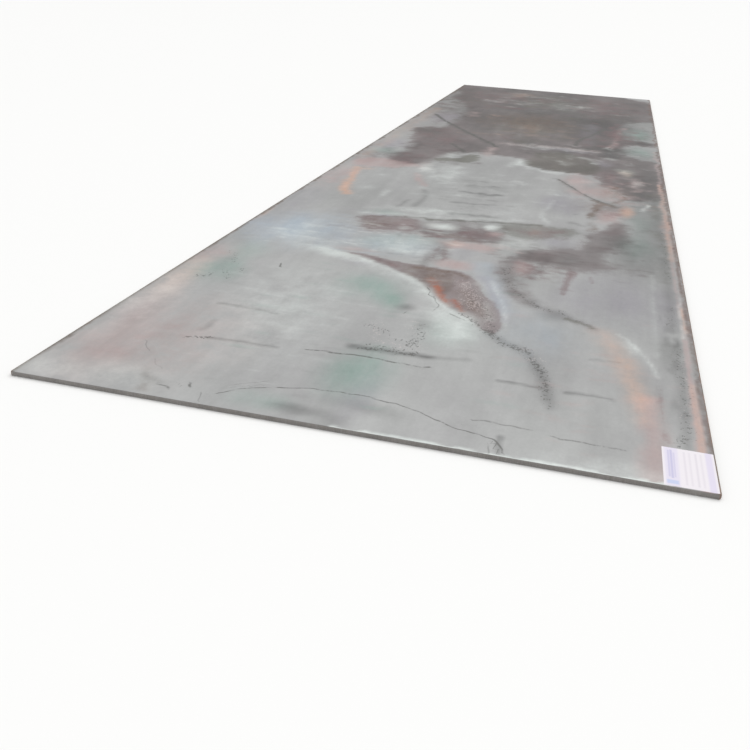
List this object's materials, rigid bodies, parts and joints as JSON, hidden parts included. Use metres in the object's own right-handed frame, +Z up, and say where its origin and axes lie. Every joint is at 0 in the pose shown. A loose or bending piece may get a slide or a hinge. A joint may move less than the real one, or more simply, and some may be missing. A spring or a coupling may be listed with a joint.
{
  "type": "steel plate",
  "caption": "Flat rectangular hot-rolled steel plate with rounded mill edges, cut ends and a blank paper stock label at one corner.",
  "frame": {"origin": "centre of the underside, on the ground that the plate lies on", "axes": "+X across the width, towards the labelled edge; +Y along the rolling direction, away from the labelled end; +Z up, through the thickness"},
  "size_m": [1.5, 6, 0.0122],
  "materials": {
    "mill_scale_steel": "satin",
    "label_paper": "matte"
  },
  "bodies": {
    "root": {"plate": "mill_scale_steel", "label": "label_paper"}
  },
  "joints": []
}
